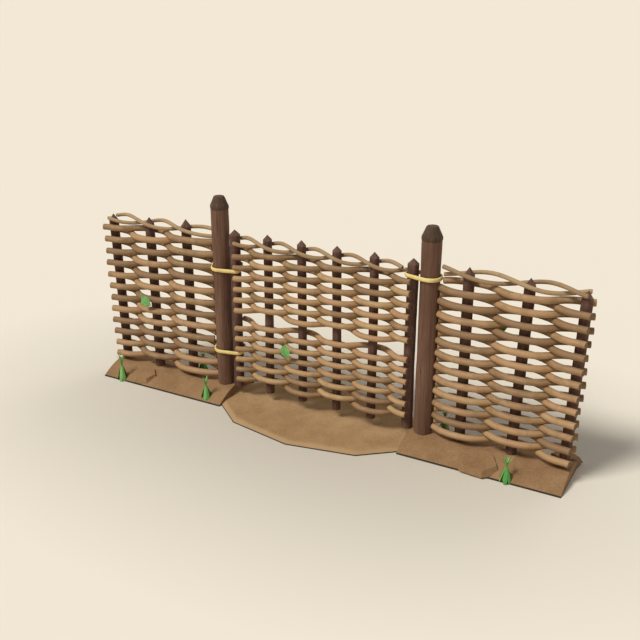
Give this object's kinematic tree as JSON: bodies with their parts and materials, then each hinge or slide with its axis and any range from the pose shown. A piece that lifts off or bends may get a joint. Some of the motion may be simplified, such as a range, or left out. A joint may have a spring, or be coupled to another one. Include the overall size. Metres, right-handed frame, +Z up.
{
  "type": "wattle gate",
  "caption": "Woven wattle gate hung on a post by withy loops, latched by a third loop, between two short panels of wattle fence set in earth banks.",
  "frame": {"origin": "on the ground in the middle of the gateway, at the underside of the worn patch", "axes": "+X along the fence towards the latch post, +Y to the back, +Z up"},
  "size_m": [3.2497, 0.86, 1.3503],
  "materials": {
    "post_wood": "weathered dark brown wood with the bark off, matt",
    "cap_wood": "darker weathered wood, matt",
    "stake_wood": "dark brown round wood with its bark on, matt",
    "rod_bark": "light brown bark of long straight rods, satin",
    "withy_bark": "brown bark of thin twisted rods, satin",
    "loop_withy": "pale yellow peeled withy, satin",
    "bank_earth": "packed brown earth, matt",
    "patch_earth": "bare trodden earth, matt",
    "grass": "bright green grass, satin"
  },
  "bodies": {
    "root": {"left_bank": "bank_earth", "right_bank": "bank_earth", "worn_patch": "patch_earth", "clod_left": "bank_earth", "clod_right": "bank_earth", "clod_far": "bank_earth", "heel_post": "post_wood", "heel_post_cap": "cap_wood", "latch_post": "post_wood", "latch_post_cap": "cap_wood", "left_stake_1": "stake_wood", "left_stake_2": "stake_wood", "left_stake_3": "stake_wood", "right_stake_1": "stake_wood", "right_stake_2": "stake_wood", "right_stake_3": "stake_wood", "left_rods_1": "rod_bark", "left_rods_2": "rod_bark", "left_rods_3": "rod_bark", "left_rods_4": "rod_bark", "left_rods_5": "rod_bark", "left_rods_6": "rod_bark", "right_rods_1": "rod_bark", "right_rods_2": "rod_bark", "right_rods_3": "rod_bark", "right_rods_4": "rod_bark", "right_rods_5": "rod_bark", "right_rods_6": "rod_bark", "left_withy_a": "withy_bark", "left_withy_b": "withy_bark", "right_withy_a": "withy_bark", "right_withy_b": "withy_bark", "grass_tuft_1": "grass", "grass_tuft_2": "grass", "grass_tuft_3": "grass", "grass_tuft_4": "grass", "grass_tuft_5": "grass"},
    "gate": {"heel_stile": "stake_wood", "latch_stile": "stake_wood", "gate_upright_1": "stake_wood", "gate_upright_2": "stake_wood", "gate_upright_3": "stake_wood", "gate_upright_4": "stake_wood", "gate_rods_01": "rod_bark", "gate_rods_02": "rod_bark", "gate_rods_03": "rod_bark", "gate_rods_04": "rod_bark", "gate_rods_05": "rod_bark", "gate_rods_06": "rod_bark", "gate_rods_07": "rod_bark", "gate_rods_08": "rod_bark", "gate_rods_09": "rod_bark", "gate_rods_10": "rod_bark", "gate_rods_11": "rod_bark", "gate_rods_12": "rod_bark", "gate_withy_a": "withy_bark", "gate_withy_b": "withy_bark", "hinge_loop_lower": "loop_withy", "hinge_loop_upper": "loop_withy"},
    "latch_loop": {"latch_loop": "loop_withy"}
  },
  "joints": [
    {"name": "gate_swing", "type": "hinge", "parent": "root", "child": "gate", "pos_m": [-0.712, 0, 0], "axis": [0, 0, 1], "range_deg": [-45, 90]},
    {"name": "latch_loop_lift", "type": "slide", "parent": "root", "child": "latch_loop", "axis": [0, 0, 1], "range_m": [0, 0.12]}
  ]
}
